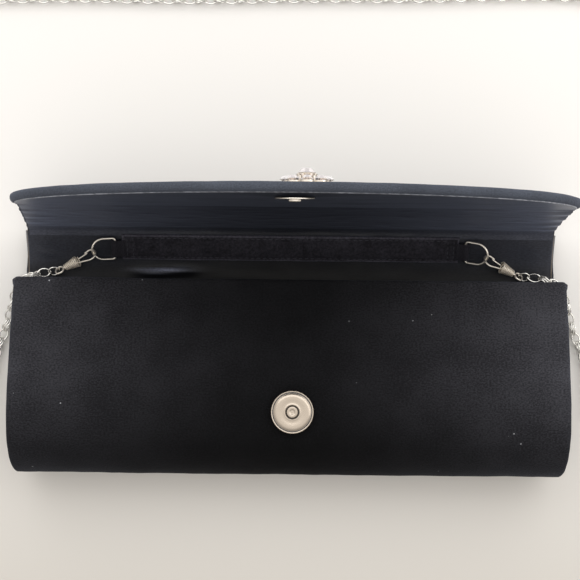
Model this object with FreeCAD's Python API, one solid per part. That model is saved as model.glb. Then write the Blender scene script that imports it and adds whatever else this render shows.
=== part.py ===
import FreeCAD, Part
import math
import os

# Evening bag lying on its back panel with the flap standing open.
# X runs along the width, +Y from the bottom of the bag to its mouth, +Z away from the table.
# Origin: middle of the back panel's resting face.  Millimetres and degrees.

V = FreeCAD.Vector
os.makedirs("parts", exist_ok=True)

# ---- driving dimensions -----------------------------------------------------------------
WIDTH = 240.0
HALF = WIDTH / 2

# Wall build-up, as depths below the outer face.
SKIN = 0.9
BOARD_TOP, BOARD_LOW = 1.0, 2.4
LINING_TOP, WALL = 2.9, 3.5
BOARD_HALF = HALF - 1.0
LINING_HALF = HALF - 3.0

# Side profile (y, z) of the front panel's outer face, from the mouth round the bottom.
MOUTH_Y, MOUTH_Z = 24.3, 30.0
FLAT_Y = -40.0
FRONT_PROFILE = [
    (MOUTH_Y, MOUTH_Z), (2.0, 37.0), (-18.0, 41.5), (-36.0, 43.4), (-48.5, 40.2),
    (-57.0, 32.6), (-61.3, 20.0), (-58.0, 8.0), (-50.0, 1.6), (FLAT_Y, 0.0),
]
BOTTOM_START, BOTTOM_END = 0.61, 0.90      # fractions of the profile that the bottom board holds

# The back wall is flat, then turns up towards the fold of the flap.
BEND_Y = 26.0
BEND_R = 30.0
BACK_SLOPE = 24.0
FOLD_GAP = 3.0

# Flap: a soft strip between two fold lines, then a stiff half-oval cover.
FOLD_Y, FOLD_Z = 48.0, 10.0
STRIP_ANGLE = 76.0
STRIP_LENGTH = 35.0
STRIP_HALF = HALF - 1.5
STRIP_SKIN, STRIP_TOTAL = 0.9, 1.8
CREASE_GAP = 2.5
COVER_SHIFT = 2.0                          # the cover is sewn on a little to the right
COVER_ANGLE = 88.9
COVER_DEPTH = 67.6
COVER_INNER, COVER_OUTER = 1.2, -2.8       # faces of the cover, measured from the fold line
RIM = 1.0
LAYER_GAP = 0.05
CLOSE_TURN = 55.2
CREASE_RATIO = 0.375

# Magnetic snap.
SNAP_X = 1.5
SNAP_Y = -31.6
SOCKET_R, SOCKET_H = 9.0, 3.0
SOCKET_HOLE_R = 2.95
RIVET_R, SHANK_R = 2.4, 1.3
STUD_R, STUD_H = 7.6, 2.1
PIN_R, PIN_H = 2.4, 1.3
STUD_X, STUD_V = SNAP_X - COVER_SHIFT, 56.9
WASHER_R, WASHER_H = 6.0, 0.4
HOLE_PLAY = 0.1

# Brooch on the outside of the cover.
BROOCH_X, BROOCH_V = 6.0 - COVER_SHIFT, 52.0
PLATE_T = 0.8
PETAL_ORBIT, PETAL_R = 7.0, 3.1
PETALS = 8
STONE_R = 3.6
POST_R = 0.5
POST_X, POST_V = 6.0, -8.0

# Strap with the two D rings, on the back lining just below the fold.
STRAP_HALF = 76.0
STRAP_LOW, STRAP_HIGH = 33.4, 44.6
STRAP_T = 1.2
STRAP_LIFT = 0.4
TAB_X0, TAB_X1 = 76.2, 80.4
TAB_HALF_W = 3.6
RING_BAR_X, RING_BAR_Y = 79.0, 38.6
RING_WIRE, RING_R, RING_LEG = 0.5, 5.0, 5.2
RING_LIFT = {"left": 10.0, "right": 24.0}
CONTACT_ANGLE = 20.0

# Spring clasp: hook, conical coil and eye along one axis that starts at the ring's wire.
HOOK_WIRE, GATE_WIRE = 0.45, 0.35
HOOK_R = 3.0
HOOK_PLAY = 0.1
COIL_START, COIL_END = 7.4, 15.0
COIL_R0, COIL_R1 = 2.9, 1.5
COIL_TURNS = 9
EYE_AT, EYE_R = 17.3, 1.9
GATE_AT, GATE_SIDE = 7.4, 1.0
CLASP_ROLL = -40.0
EYE_POINT = {"left": (-104.4, 27.7, 7.3), "right": (103.4, 26.9, 7.3)}

# Chain: jump rings at its ends, and a tube as thick as the twisted links between them.
JUMP_WIRE, JUMP_R = 0.4, 2.4
CHAIN_D = 4.4
CHAIN_REST = CHAIN_D / 2 + 0.1
CHAIN_ROUTE = [
    (-109.3, 26.9, 8.0), (-115.6, 26.2, 8.8), (-121.2, 22.4, 9.3), (-124.6, 16.6, 7.0),
    (-126.9, 9.6, 3.4), (-129.3, 0.6, 2.3), (-133.6, -10.6, 2.3), (-136.3, -21.6, 2.3),
    (-137.4, -34.3, 2.3), (-148.2, -40.7, 2.3), (-159.2, -34.3, 2.3), (-158.9, -21.4, 2.3),
    (-156.2, -6.0, 2.3), (-150.6, 14.0, 2.3), (-146.6, 38.0, 2.3), (-145.4, 66.0, 2.3),
    (-146.6, 96.0, 2.3), (-150.6, 121.0, 2.3), (-153.6, 137.0, 2.3), (-147.0, 150.8, 2.3),
    (-130.4, 151.0, 2.3), (-98.0, 151.9, 2.3), (-42.0, 151.3, 2.3), (10.0, 153.0, 2.3),
    (58.0, 153.1, 2.3), (104.0, 155.0, 2.3), (134.4, 154.6, 2.3), (150.4, 151.4, 2.3),
    (155.0, 136.6, 2.3), (151.6, 114.0, 2.3), (147.2, 88.0, 2.3), (145.6, 60.0, 2.3),
    (147.6, 33.0, 2.3), (153.6, 10.0, 2.3), (157.8, -8.0, 2.3), (159.1, -23.0, 2.3),
    (159.0, -37.0, 2.3), (148.0, -43.4, 2.3), (137.4, -37.0, 2.3), (136.8, -25.6, 2.3),
    (135.6, -15.6, 2.3), (133.2, -7.4, 2.3), (129.2, 1.4, 2.3), (126.8, 10.0, 3.4),
    (124.4, 17.0, 7.0), (120.7, 22.8, 9.3), (114.8, 26.4, 8.8), (108.4, 26.7, 8.0),
]


# ---- helpers ----------------------------------------------------------------------------
def save(name, shape):
    """Write one node, after checking that it is one or more valid closed solids."""
    if not shape.isValid() or not shape.Solids:
        raise ValueError(name + " is not a valid solid")
    shape.exportStep("parts/" + name + ".step")
    print(f"{name:24s} {len(shape.Solids):3d} solid(s) {shape.Volume:10.1f} mm3")
    return shape


def box(x0, x1, y0, y1, z0, z1):
    return Part.makeBox(x1 - x0, y1 - y0, z1 - z0, V(x0, y0, z0))


def spun(outline, base, direction):
    """Solid of revolution: outline is (radius, height) pairs about the line base + direction."""
    points = [V(radius, 0, height) for radius, height in outline]
    face = Part.Face(Part.makePolygon(points + points[:1]))
    solid = face.revolve(V(0, 0, 0), V(0, 0, 1), 360)
    solid.Placement = FreeCAD.Placement(base, FreeCAD.Rotation(V(0, 0, 1), direction))
    return solid


def ray(angle):
    """Unit vector in the YZ plane, measured from +Y towards +Z."""
    return V(0, math.cos(math.radians(angle)), math.sin(math.radians(angle)))


def placed(shape, base, angle):
    """Turn a shape about X by angle, then move its own origin to base."""
    moved = shape.copy()
    move = FreeCAD.Placement(base, FreeCAD.Rotation(V(1, 0, 0), angle))
    moved.Placement = move.multiply(shape.Placement)
    return moved


def turned(shape, base, axis, angle):
    moved = shape.copy()
    moved.rotate(base, axis, angle)
    return moved


def rounded_path(points, radii=None):
    """Straight runs joined by tangent arcs.  Returns the wire and the radii that were used."""
    edges, used = [], []
    start = points[0]
    for i in range(1, len(points) - 1):
        before, after = points[i - 1] - points[i], points[i + 1] - points[i]
        half_turn = (math.pi - before.getAngle(after)) / 2
        shorter = min(before.Length, after.Length)
        radius = radii[i - 1] if radii else 0.45 * shorter / math.tan(half_turn)
        cut = radius * math.tan(half_turn)
        u, w = before.normalize(), after.normalize()
        enter, leave = points[i] + u * cut, points[i] + w * cut
        middle_way = (u + w).normalize()
        middle = points[i] + middle_way * (radius / math.cos(half_turn) - radius)
        edges.append(Part.LineSegment(start, enter).toShape())
        edges.append(Part.Arc(enter, middle, leave).toShape())
        used.append(radius)
        start = leave
    edges.append(Part.LineSegment(start, points[-1]).toShape())
    return Part.Wire(edges), used


def tube(wire, radius):
    """Round wire of one radius along a smooth path."""
    first = wire.OrderedEdges[0]
    start = first.valueAt(first.FirstParameter)
    way = first.tangentAt(first.FirstParameter)
    section = Part.Wire(Part.makeCircle(radius, start, way))
    return wire.makePipeShell([section], True, False)


# ---- front, bottom and back walls -------------------------------------------------------
def profile_curve():
    curve = Part.BSplineCurve()
    points = [V(0, y, z) for y, z in FRONT_PROFILE]
    curve.interpolate(Points=points, InitialTangent=V(0, -0.94, 0.33), FinalTangent=V(0, 1, 0))
    return curve


PROFILE = profile_curve()
PROFILE_LENGTH = PROFILE.length()


def profile_at(fraction, depth):
    """Point of the front profile at a fraction of its length, sunk by depth into the bag."""
    at = PROFILE.parameterAtDistance(PROFILE_LENGTH * fraction, PROFILE.FirstParameter)
    way = PROFILE.tangent(at)[0]
    return PROFILE.value(at) + V(0, -way.z, way.y) * depth


def profile_edge(depth, start=0.0, end=1.0):
    count = max(6, round(26 * (end - start)))
    steps = [start + (end - start) * i / count for i in range(count + 1)]
    curve = Part.BSplineCurve()
    curve.interpolate(Points=[profile_at(step, depth) for step in steps])
    return curve.toShape()


def ends(edge):
    return edge.valueAt(edge.FirstParameter), edge.valueAt(edge.LastParameter)


def extrude_face(edges, half_width):
    face = Part.Face(Part.Wire(edges))
    solid = face.extrude(V(2 * half_width, 0, 0))
    solid.translate(V(-half_width, 0, 0))
    return solid


def front_layer(top, low, start, end, half_width):
    outer, inner = profile_edge(top, start, end), profile_edge(low, start, end)
    near, far = ends(outer)
    near_in, far_in = ends(inner)
    caps = [Part.makeLine(far, far_in), Part.makeLine(near_in, near)]
    return extrude_face([outer, caps[0], inner, caps[1]], half_width)


def back_point(depth, along=None):
    """Point on the sloped top of the back wall; along is measured from the end of the bend."""
    centre = V(0, BEND_Y, BEND_R)
    normal = V(0, -math.sin(math.radians(BACK_SLOPE)), math.cos(math.radians(BACK_SLOPE)))
    start = centre - normal * (BEND_R - depth)
    fold = V(0, FOLD_Y, FOLD_Z)
    reach = (fold - start).dot(ray(BACK_SLOPE)) - FOLD_GAP if along is None else along
    return start + ray(BACK_SLOPE) * reach


def back_edges(depth, from_y):
    flat = V(0, from_y, depth)
    bend = V(0, BEND_Y, depth)
    centre = V(0, BEND_Y, BEND_R)
    half = math.radians(BACK_SLOPE / 2)
    middle = centre + V(0, math.sin(half), -math.cos(half)) * (BEND_R - depth)
    slope = back_point(depth, 0)
    return [
        Part.makeLine(flat, bend),
        Part.Arc(bend, middle, slope).toShape(),
        Part.makeLine(slope, back_point(depth)),
    ]


def back_layer(top, low, from_y, half_width):
    outer, inner = back_edges(top, from_y), back_edges(low, from_y)
    caps = [
        Part.makeLine(back_point(top), back_point(low)),
        Part.makeLine(V(0, from_y, low), V(0, from_y, top)),
    ]
    return extrude_face(outer + [caps[0]] + inner[::-1] + [caps[1]], half_width)


def wrapped_layer(top, low, half_width):
    """One sheet that runs from the mouth round the bottom and up the back wall."""
    outer = [profile_edge(top)] + back_edges(top, FLAT_Y)
    inner = [profile_edge(low)] + back_edges(low, FLAT_Y)
    near = Part.makeLine(ends(inner[0])[0], ends(outer[0])[0])
    far = Part.makeLine(back_point(top), back_point(low))
    return extrude_face(outer + [far] + inner[::-1] + [near], half_width)


def end_plate(depth, x0, x1):
    """End wall: fills the side profile at a depth, with a top edge that dips between the walls."""
    front_start = 0.03
    curve = profile_edge(depth, front_start)
    top, low = ends(curve)
    back_end = V(0, MOUTH_Y - 2.0, depth)
    dip = V(0, MOUTH_Y - 12.0, (top.z + depth) / 2)
    edges = [curve, Part.makeLine(low, back_end), Part.Arc(back_end, dip, top).toShape()]
    solid = Part.Face(Part.Wire(edges)).extrude(V(x1 - x0, 0, 0))
    solid.translate(V(x0, 0, 0))
    return solid


def snap_frame():
    """Point on the front face under the snap socket, and the outward direction there."""
    low, high = 0.0, 0.6
    for _ in range(40):
        middle = (low + high) / 2
        if profile_at(middle, 0).y > SNAP_Y:
            low = middle
        else:
            high = middle
    point, inside = profile_at(low, 0), profile_at(low, 1)
    return V(SNAP_X, point.y, point.z), point - inside


SNAP_AT, SNAP_UP = snap_frame()


def make_walls():
    shank_hole = Part.makeCylinder(SHANK_R + HOLE_PLAY, 12, SNAP_AT - SNAP_UP * 6, SNAP_UP)
    save("front_cover", front_layer(0, SKIN, 0, 1, HALF).cut(shank_hole))
    save("front_board", front_layer(BOARD_TOP, BOARD_LOW, 0, 0.6, BOARD_HALF).cut(shank_hole))
    save("bottom_board", front_layer(BOARD_TOP, BOARD_LOW, BOTTOM_START, BOTTOM_END, BOARD_HALF))
    save("back_cover", back_layer(0, SKIN, FLAT_Y + 0.05, HALF))
    save("back_board", back_layer(BOARD_TOP, BOARD_LOW, FLAT_Y, BOARD_HALF))
    save("body_lining", wrapped_layer(LINING_TOP, WALL, LINING_HALF))
    for side, sign in (("left", -1), ("right", 1)):
        span = sorted((sign * (LINING_HALF + 0.2), sign * (LINING_HALF + 1.8)))
        save("end_panel_" + side, end_plate(BOARD_LOW + 0.1, *span))
        span = sorted((sign * (LINING_HALF - 0.6), sign * LINING_HALF))
        save("end_lining_" + side, end_plate(WALL + 0.1, *span))
    mouth, mouth_in = profile_at(0, 0), profile_at(0, WALL)
    way = (mouth_in - mouth).normalize()
    forward = V(0, way.z, -way.y) * -1
    lip = [mouth + forward * 0.05, mouth + forward * 0.75]
    lip += [point + way * WALL for point in lip[::-1]]
    face = Part.Face(Part.makePolygon(lip + lip[:1]))
    binding = face.extrude(V(WIDTH, 0, 0))
    binding.translate(V(-HALF, 0, 0))
    save("mouth_binding", binding)


# ---- flap -------------------------------------------------------------------------------
FOLD = V(0, FOLD_Y, FOLD_Z)
CREASE = FOLD + ray(STRIP_ANGLE) * STRIP_LENGTH


def cover_plate(low, high, inset):
    """Half-oval plate of the cover; low and high are heights towards the lining side."""
    wide, deep = HALF - inset, COVER_DEPTH - inset
    oval = Part.Ellipse(V(0, 0, 0), wide, deep)
    start = math.asin(CREASE_GAP / deep)
    arc = Part.ArcOfEllipse(oval, start, math.pi - start).toShape()
    first, last = ends(arc)
    face = Part.Face(Part.Wire([arc, Part.makeLine(last, first)]))
    plate = face.extrude(V(0, 0, high - low))
    plate.translate(V(0, 0, low))
    return plate


def on_cover(shape):
    return placed(shape, CREASE + V(COVER_SHIFT, 0, 0), COVER_ANGLE)


def make_flap():
    half = STRIP_TOTAL / 2
    strip = (-STRIP_HALF, STRIP_HALF, FOLD_GAP, STRIP_LENGTH - CREASE_GAP)
    save("strip_cover", placed(box(*strip, -half, -half + STRIP_SKIN), FOLD, STRIP_ANGLE))
    save("strip_lining", placed(box(*strip, -half + STRIP_SKIN + LAYER_GAP, half), FOLD, STRIP_ANGLE))

    stud_hole = Part.makeCylinder(SHANK_R + HOLE_PLAY, 12, V(STUD_X, STUD_V, -6))
    pocket = Part.makeCylinder(WASHER_R + HOLE_PLAY, WASHER_H + HOLE_PLAY, V(STUD_X, STUD_V, -1.0 - WASHER_H))
    posts = [
        Part.makeCylinder(POST_R + HOLE_PLAY, 12, V(BROOCH_X + dx, BROOCH_V + POST_V, -7.5))
        for dx in (-POST_X, POST_X)
    ]
    post_pockets = [
        Part.makeCylinder(2.2, 0.5, V(BROOCH_X + dx, BROOCH_V + POST_V, 0.65)) for dx in (-POST_X, POST_X)
    ]
    inset = RIM + LAYER_GAP
    lining = cover_plate(0.75, COVER_INNER, inset).cut(stud_hole)
    board = cover_plate(-0.9, 0.65, inset).cut(stud_hole)
    foam = cover_plate(-1.9, -0.95, inset).cut(pocket)
    skin = cover_plate(COVER_OUTER, -1.95, inset)
    for post in posts:
        board, foam, skin = board.cut(post), foam.cut(post), skin.cut(post)
    for hollow in post_pockets:
        board = board.cut(hollow.translated(V(0, 0, -0.45)))
    save("flap_lining", on_cover(lining))
    save("flap_board", on_cover(board))
    save("flap_foam", on_cover(foam))
    save("flap_cover", on_cover(skin))
    rim = cover_plate(COVER_OUTER, COVER_INNER, 0).cut(cover_plate(COVER_OUTER - 1, COVER_INNER + 1, RIM))
    save("flap_rim", on_cover(rim))


# ---- magnetic snap ----------------------------------------------------------------------
def make_snap():
    lift = SNAP_AT + SNAP_UP * 0.15
    case = [
        (SOCKET_HOLE_R, 0.6), (SOCKET_HOLE_R, SOCKET_H - 0.3), (SOCKET_HOLE_R + 0.3, SOCKET_H - 0.15),
        (5.2, SOCKET_H - 0.35), (7.6, SOCKET_H - 0.2), (8.3, SOCKET_H), (8.8, SOCKET_H - 0.2),
        (SOCKET_R, SOCKET_H - 0.9), (SOCKET_R, 0.1), (SOCKET_R - 0.5, 0.1), (SOCKET_R - 0.5, SOCKET_H - 0.9),
        (SOCKET_HOLE_R + 0.5, SOCKET_H - 0.9), (SOCKET_HOLE_R + 0.5, 0.6),
    ]
    save("snap_socket_case", spun(case, lift, SNAP_UP))
    magnet = [(3.5, 0.65), (8.4, 0.65), (8.4, 2.05), (3.5, 2.05)]
    save("snap_magnet", spun(magnet, lift, SNAP_UP))
    base = [(SHANK_R, 0.0), (8.4, 0.0), (8.4, 0.55), (SHANK_R, 0.55)]
    save("snap_socket_base", spun(base, lift, SNAP_UP))
    rivet = [
        (0, -2.8), (SHANK_R - 0.05, -2.8), (SHANK_R - 0.05, 0.6), (RIVET_R, 0.6),
        (RIVET_R, 0.9), (RIVET_R - 0.5, 1.15), (0.9, 1.15), (0.7, 0.85), (0, 0.85),
    ]
    save("snap_socket_rivet", spun(rivet, lift, SNAP_UP))
    washer = [(SHANK_R, 0.0), (4.0, 0.0), (4.0, 0.24), (SHANK_R, 0.24)]
    save("snap_socket_washer", spun(washer, SNAP_AT - SNAP_UP * (LINING_TOP - 0.02), SNAP_UP))

    stud = [
        (0, COVER_INNER + 0.05), (STUD_R - 0.9, COVER_INNER + 0.05), (STUD_R - 0.9, COVER_INNER + STUD_H - 0.7),
        (STUD_R, COVER_INNER + STUD_H - 0.6), (STUD_R, COVER_INNER + STUD_H - 0.3),
        (STUD_R - 0.6, COVER_INNER + STUD_H), (PIN_R, COVER_INNER + STUD_H),
        (PIN_R, COVER_INNER + STUD_H + PIN_H - 0.4), (PIN_R - 0.4, COVER_INNER + STUD_H + PIN_H),
        (0, COVER_INNER + STUD_H + PIN_H),
    ]
    save("snap_stud", on_cover(spun(stud, V(STUD_X, STUD_V, 0), V(0, 0, 1))))
    shank = [
        (0, -1.4), (WASHER_R, -1.4), (WASHER_R, -1.4 + WASHER_H), (SHANK_R, -1.4 + WASHER_H),
        (SHANK_R, COVER_INNER), (0, COVER_INNER),
    ]
    save("snap_stud_washer", on_cover(spun(shank, V(STUD_X, STUD_V, 0), V(0, 0, 1))))


# ---- brooch -----------------------------------------------------------------------------
def on_brooch(shape):
    """Brooch pieces are made face up at the origin, then turned to face out of the cover."""
    flipped = shape.copy()
    flipped.rotate(V(0, 0, 0), V(0, 1, 0), 180)
    flipped.translate(V(BROOCH_X, BROOCH_V, COVER_OUTER - 0.05))
    return on_cover(flipped)


def faceted(radius, low, girdle, top, sides, x=0.0, y=0.0, long=1.0, heading=0.0):
    """Cut stone: a pointed pavilion, a girdle and a flat table, all with the same sides."""
    def ring(scale, z):
        corners = []
        for i in range(sides):
            turn = 2 * math.pi * (i + 0.5) / sides
            corner = V(radius * scale * long * math.cos(turn), radius * scale * math.sin(turn), z)
            corners.append(corner)
        return Part.makePolygon(corners + corners[:1])
    layers = [ring(0.45, low), ring(1.0, girdle), ring(0.62, top)]
    stone = Part.makeLoft(layers, True, True)
    stone.rotate(V(0, 0, 0), V(0, 0, 1), heading)
    stone.translate(V(x, y, 0))
    return stone


def around(count, orbit, first=0.0):
    """Evenly spaced places on a circle, as x, y and heading."""
    places = []
    for i in range(count):
        heading = first + 360.0 * i / count
        turn = math.radians(heading)
        places.append((orbit * math.cos(turn), orbit * math.sin(turn), heading))
    return places


def make_brooch():
    plate = Part.makeCylinder(6.4, PLATE_T)
    for x, y, _ in around(PETALS, PETAL_ORBIT):
        plate = plate.fuse(Part.makeCylinder(PETAL_R + 0.5, PLATE_T, V(x, y, 0)))
    plate = plate.removeSplitter()
    save("brooch_plate", on_brooch(plate))

    setting = [(2.0, PLATE_T), (3.0, PLATE_T), (4.1, 3.9), (3.7, 4.2), (3.4, 3.4), (2.0, 1.6)]
    save("brooch_setting", on_brooch(spun(setting, V(0, 0, 0), V(0, 0, 1))))
    save("brooch_centre_stone", on_brooch(faceted(STONE_R, 3.7, 4.4, 6.0, 12)))

    def petal_angles(side):
        return [p for p in around(PETALS, PETAL_ORBIT + 0.4) if (p[2] % 180 == 0) == side]

    low = PLATE_T + 0.05
    side_stones = [faceted(2.5, low, 1.9, 3.1, 10, x, y, 1.25, h) for x, y, h in petal_angles(True)]
    save("brooch_side_stones", on_brooch(Part.makeCompound(side_stones)))
    petals = [faceted(2.0, low, 1.7, 2.8, 8, x, y, 1.35, h) for x, y, h in petal_angles(False)]
    save("brooch_petal_stones", on_brooch(Part.makeCompound(petals)))
    small = [faceted(0.85, low, 1.5, 2.1, 6, x, y) for x, y, _ in around(PETALS, 9.2, 22.5)]
    small += [faceted(0.7, low, 1.5, 2.1, 6, x, y) for x, y, _ in around(PETALS, 4.75, 22.5)]
    save("brooch_small_stones", on_brooch(Part.makeCompound(small)))

    claws = []
    for x, y, _ in around(PETALS, 7.05, 22.5):
        claw = Part.makeCylinder(0.42, 1.6, V(x, y, low)).fuse(Part.makeSphere(0.42, V(x, y, low + 1.6)))
        claws.append(claw.removeSplitter())
    save("brooch_claws", on_brooch(Part.makeCompound(claws)))

    posts, washers = [], []
    for dx in (-POST_X, POST_X):
        post_at = V(BROOCH_X + dx, BROOCH_V + POST_V, COVER_OUTER)
        posts.append(on_cover(Part.makeCylinder(POST_R, 3.45, post_at)))
        ring = Part.makeCylinder(2.0, 0.3, V(post_at.x, post_at.y, 0.3))
        washers.append(on_cover(ring.cut(Part.makeCylinder(POST_R + HOLE_PLAY, 2, V(post_at.x, post_at.y, -0.5)))))
    save("brooch_posts", Part.makeCompound(posts))
    save("brooch_washers", Part.makeCompound(washers))


# ---- strap, rings and clasps ------------------------------------------------------------
def wall_point(y, height):
    """Point above the back lining's slope, at a height measured square to it."""
    base = back_point(WALL, 0)
    normal = V(0, -math.sin(math.radians(BACK_SLOPE)), math.cos(math.radians(BACK_SLOPE)))
    along = (y - base.y) / math.cos(math.radians(BACK_SLOPE))
    return base + ray(BACK_SLOPE) * along + normal * height


def lying_on_wall(x0, x1, y0, y1, low, high):
    """Flat strip on the slope of the back lining."""
    length = (y1 - y0) / math.cos(math.radians(BACK_SLOPE))
    strip = box(x0, x1, 0, length, low, high)
    return placed(strip, wall_point(y0, 0), BACK_SLOPE)


def ring_frame(side):
    """Bar centre, bar direction, outward direction and turning axis of one D ring."""
    sign = -1 if side == "left" else 1
    bar = wall_point(RING_BAR_Y, 1.75)
    bar.x = sign * RING_BAR_X
    along = ray(BACK_SLOPE)
    normal = V(0, -along.z, along.y)
    lift = math.radians(RING_LIFT[side])
    outward = V(sign * math.cos(lift), 0, 0) + normal * math.sin(lift)
    return bar, along, outward, along * -sign


def contact_point(side):
    """Centre of the ring's wire where the hook pulls, and the wire's direction there."""
    bar, along, outward, _ = ring_frame(side)
    turn = math.radians(CONTACT_ANGLE)
    reach = RING_LEG + RING_R * math.cos(turn)
    point = bar + outward * reach - along * (RING_R * math.sin(turn))
    wire_way = along * math.cos(turn) + outward * math.sin(turn)
    return point, wire_way


def make_ring(side):
    bar, along, outward, _ = ring_frame(side)
    half_bar = along * RING_R
    elbow_r = 1.2
    low, high = bar - half_bar, bar + half_bar
    arc_low, arc_high = low + outward * RING_LEG, high + outward * RING_LEG
    tip = bar + outward * (RING_LEG + RING_R)
    corner = elbow_r * (1 - math.sqrt(0.5))

    def elbow(point, way):
        return Part.Arc(point + outward * elbow_r, point + (outward + way) * corner, point + way * elbow_r)

    edges = [
        Part.makeLine(low + along * elbow_r, high - along * elbow_r),
        elbow(high, along * -1).toShape(),
        Part.makeLine(high + outward * elbow_r, arc_high),
        Part.Arc(arc_high, tip, arc_low).toShape(),
        Part.makeLine(arc_low, low + outward * elbow_r),
        elbow(low, along).toShape(),
    ]
    return tube(Part.Wire(Part.__sortEdges__(edges)), RING_WIRE)


def clasp_frame(side):
    """Origin at the ring's wire, x axis towards the eye, y axis across the hook."""
    start, _ = contact_point(side)
    forward = (V(*EYE_POINT[side]) - start).normalize()
    across = V(0, 1, 0) - forward * forward.y
    across.normalize()
    up = forward.cross(across)
    if up.z < 0:
        up = up * -1
    roll = math.radians(CLASP_ROLL)
    lateral = across * math.cos(roll) + up * math.sin(roll)
    normal = forward.cross(lateral)
    matrix = FreeCAD.Matrix(
        forward.x, lateral.x, normal.x, start.x,
        forward.y, lateral.y, normal.y, start.y,
        forward.z, lateral.z, normal.z, start.z,
        0, 0, 0, 1,
    )
    return FreeCAD.Placement(matrix), forward, lateral, normal


def hook_wire():
    nose = -(RING_WIRE + HOOK_WIRE + HOOK_PLAY)
    centre = nose + HOOK_R
    lean = math.radians(18)
    tip = V(centre + HOOK_R * math.sin(lean), HOOK_R * math.cos(lean), 0)
    foot = V(centre + HOOK_R * math.sin(lean), -HOOK_R * math.cos(lean), 0)
    tip_way = V(math.cos(lean), -math.sin(lean), 0)
    tip_end = tip + tip_way * 1.2
    shank = V(COIL_END + 0.3, 0, 0)
    elbow = foot + V(math.cos(lean), math.sin(lean), 0) * (HOOK_R * math.cos(lean) / math.sin(lean) * 0.55)
    path, _ = rounded_path([foot, elbow, V(elbow.x + 3.6, 0, 0), shank], [3.0, 3.0])
    edges = [Part.makeLine(tip_end, tip), Part.Arc(tip, V(nose, 0, 0), foot).toShape()]
    return Part.Wire(edges + path.Edges)


def make_clasp(side):
    place, _, _, _ = clasp_frame(side)
    hook = tube(hook_wire(), HOOK_WIRE)
    hook = hook.fuse(Part.makeTorus(EYE_R, HOOK_WIRE, V(EYE_AT, 0, 0), V(0, 0, 1)))
    hook = hook.removeSplitter()

    pitch = (COIL_END - COIL_START) / COIL_TURNS
    edges = []
    for i in range(COIL_TURNS):
        x0, x1 = COIL_START + pitch * i, COIL_START + pitch * (i + 1)
        r0 = COIL_R0 + (COIL_R1 - COIL_R0) * i / COIL_TURNS
        r1 = COIL_R0 + (COIL_R1 - COIL_R0) * (i + 1) / COIL_TURNS
        crest = V((x0 + x1) / 2, (r0 + r1) / 2, 0)
        edges.append(Part.Arc(V(x0, r0 - 0.35, 0), crest, V(x1, r1 - 0.35, 0)).toShape())
    bore = HOOK_WIRE + 0.02
    inner = [
        V(COIL_END, COIL_R1 - 0.35, 0), V(COIL_END, bore, 0), V(COIL_START + 6.0, bore, 0),
        V(COIL_START, COIL_R0 - 0.45, 0), V(COIL_START, COIL_R0 - 0.35, 0),
    ]
    edges += [Part.makeLine(a, b) for a, b in zip(inner, inner[1:])]
    coil = Part.Face(Part.Wire(edges)).revolve(V(0, 0, 0), V(1, 0, 0), 360)

    gate_tip = V(3.1, 1.75, 0)
    gate_root = V(GATE_AT, GATE_SIDE, 0)
    gate = Part.makeCylinder(GATE_WIRE, (gate_tip - gate_root).Length, gate_root, gate_tip - gate_root)
    gate = gate.fuse([Part.makeSphere(GATE_WIRE, gate_root), Part.makeSphere(GATE_WIRE, gate_tip)])
    for name, piece in (("hook", hook), ("coil", coil), ("gate", gate.removeSplitter())):
        piece.Placement = place.multiply(piece.Placement)
        save("clasp_" + side + "_" + name, piece)


def jump_ring(side):
    """Small ring that links the clasp's eye to the chain."""
    place, forward, _, normal = clasp_frame(side)
    eye = place.multVec(V(EYE_AT, 0, 0))
    route_end = V(*(CHAIN_ROUTE[0] if side == "left" else CHAIN_ROUTE[-1]))
    out = (route_end - eye).normalize()
    axis = out.cross(normal).normalize()
    return Part.makeTorus(JUMP_R, JUMP_WIRE, eye + out * JUMP_R, axis)


def make_strap():
    save("ring_strap", lying_on_wall(-STRAP_HALF, STRAP_HALF, STRAP_LOW, STRAP_HIGH, STRAP_LIFT, STRAP_LIFT + STRAP_T))
    for side, sign in (("left", -1), ("right", 1)):
        x0, x1 = sorted((sign * TAB_X0, sign * TAB_X1))
        middle = RING_BAR_Y
        tab = lying_on_wall(x0, x1, middle - TAB_HALF_W, middle + TAB_HALF_W, 0.1, 3.2)
        bar, along, _, _ = ring_frame(side)
        bore = Part.makeCylinder(RING_WIRE + 0.08, 20, bar - along * 10, along)
        save("ring_tab_" + side, tab.cut(bore))
        save("d_ring_" + side, make_ring(side))
        make_clasp(side)
        save("chain_ring_" + side, jump_ring(side))


def make_chain():
    path, radii = rounded_path([V(*point) for point in CHAIN_ROUTE])
    chain = save("shoulder_chain", tube(path, CHAIN_D / 2))
    expected = math.pi * (CHAIN_D / 2) ** 2 * path.Length
    print(f"chain: length {path.Length:.1f} mm, volume ratio {chain.Volume / expected:.4f}")
    print("chain radii:", " ".join(f"{radius:.0f}" for radius in radii))


# ---- build ------------------------------------------------------------------------------
def joint_line(name, point, axis):
    values = tuple(point / 1000) + tuple(axis)
    print("joint", name, " ".join(f"{value:.5f}" for value in values))


def print_joints():
    joint_line("flap_fold", FOLD, V(1, 0, 0))
    joint_line("flap_crease", CREASE, V(1, 0, 0))
    for side in ("left", "right"):
        bar, _, _, axis = ring_frame(side)
        joint_line("ring_" + side, bar, axis)
        point, wire_way = contact_point(side)
        joint_line("clasp_" + side, point, wire_way * (-1 if side == "right" else 1))
        place, _, _, normal = clasp_frame(side)
        joint_line("gate_" + side, place.multVec(V(GATE_AT, GATE_SIDE, 0)), normal)
        joint_line("eye_" + side, place.multVec(V(EYE_AT, 0, 0)), normal)


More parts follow.
